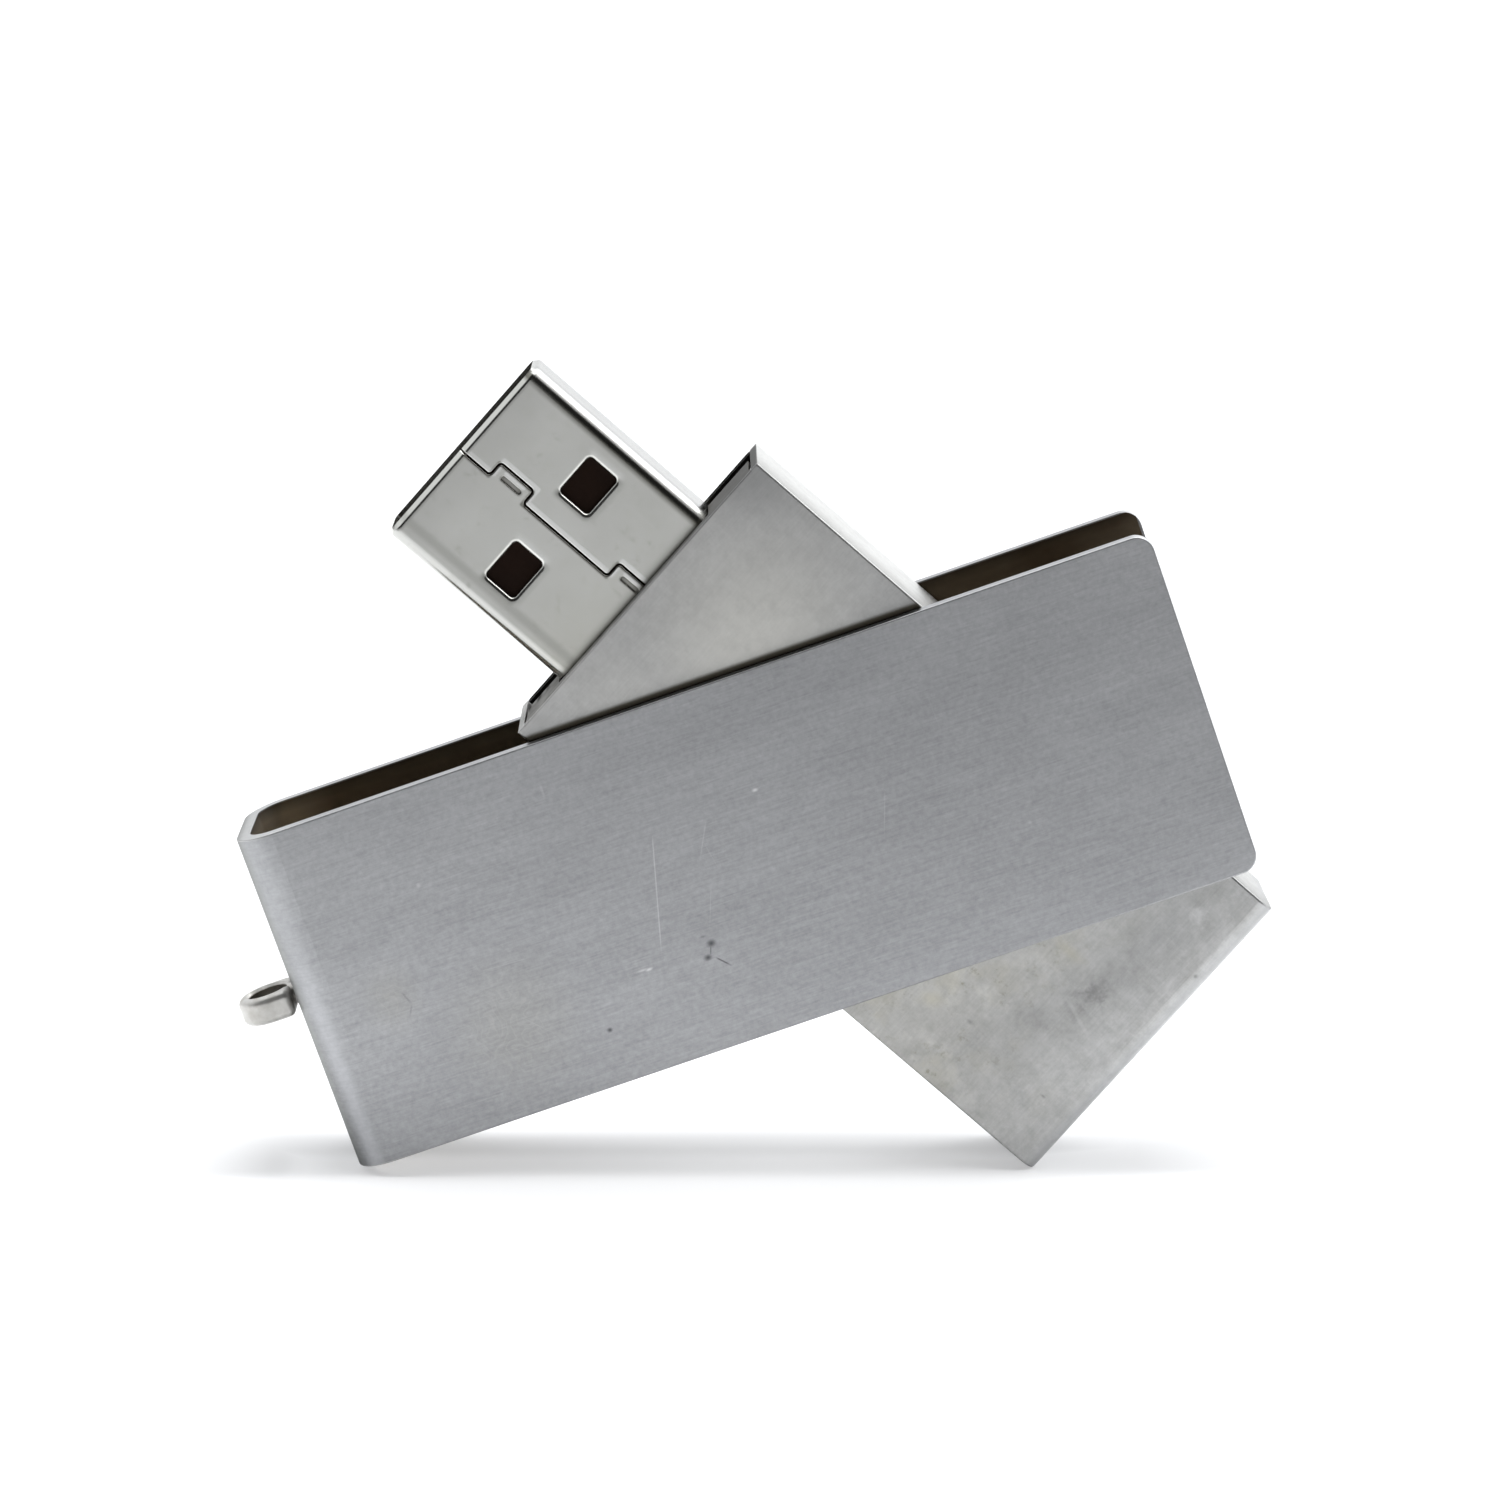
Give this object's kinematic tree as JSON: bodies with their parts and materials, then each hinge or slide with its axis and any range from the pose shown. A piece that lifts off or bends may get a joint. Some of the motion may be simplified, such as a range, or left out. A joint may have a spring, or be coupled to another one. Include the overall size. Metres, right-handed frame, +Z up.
{
  "type": "swivel usb flash drive",
  "caption": "Flat metal USB flash drive whose body and plug swivel inside a U-shaped steel clip with a key eye at its closed end.",
  "frame": {"origin": "where the swivel axis meets the outer front face of the clip", "axes": "+Z up with the half-open drive standing on the clip corner and the body corner, +X to the right towards the open end of the clip, +Y from the clip front face to its back face, along the swivel axis"},
  "size_m": [0.0564, 0.009, 0.044],
  "materials": {
    "clip_steel": "lengthwise brushed stainless sheet",
    "body_steel": "brushed stainless sheet, grain across the drive axis",
    "stud_steel": "turned stainless",
    "eye_nickel": "bright nickel",
    "washer_ptfe": "milky low-friction plastic",
    "bush_acetal": "black acetal",
    "carrier_abs": "black moulded",
    "film_amber": "clear amber film",
    "plug_nickel": "satin nickel plate",
    "plug_moulding": "dark moulded",
    "contact_gold": "gold flash",
    "board_laminate": "solder mask",
    "chip_epoxy": "moulded epoxy",
    "lead_tin": "tinned",
    "crystal_can": "plated can",
    "capacitor_ceramic": "fired ceramic",
    "resistor_film": "glazed film"
  },
  "bodies": {
    "clip": {"clip_band": "clip_steel", "front_pivot_stud": "stud_steel", "rear_pivot_stud": "stud_steel", "front_thrust_washer": "washer_ptfe", "rear_thrust_washer": "washer_ptfe", "eye_retaining_washer": "stud_steel"},
    "eye": {"key_eye": "eye_nickel"},
    "drive": {"body_front_shell": "body_steel", "body_back_cover": "body_steel", "front_pivot_bush": "bush_acetal", "rear_pivot_bush": "bush_acetal", "carrier_frame": "carrier_abs", "front_insulating_film": "film_amber", "rear_insulating_film": "film_amber", "plug_shell": "plug_nickel", "plug_insulator": "plug_moulding", "plug_contacts": "contact_gold", "circuit_board": "board_laminate", "flash_memory_chip": "chip_epoxy", "flash_chip_leads": "lead_tin", "controller_chip": "chip_epoxy", "controller_leads": "lead_tin", "crystal": "crystal_can", "capacitors": "capacitor_ceramic", "resistors": "resistor_film"}
  },
  "joints": [
    {"name": "drive_swivel", "type": "hinge", "parent": "clip", "child": "drive", "pos_m": [0, 0.0045, 0], "axis": [0, -1, 0], "continuous": true},
    {"name": "key_eye_swivel", "type": "hinge", "parent": "clip", "child": "eye", "pos_m": [-0.03164, 0.0045, -0.01102], "axis": [-0.9444, 0, -0.3289], "continuous": true}
  ]
}
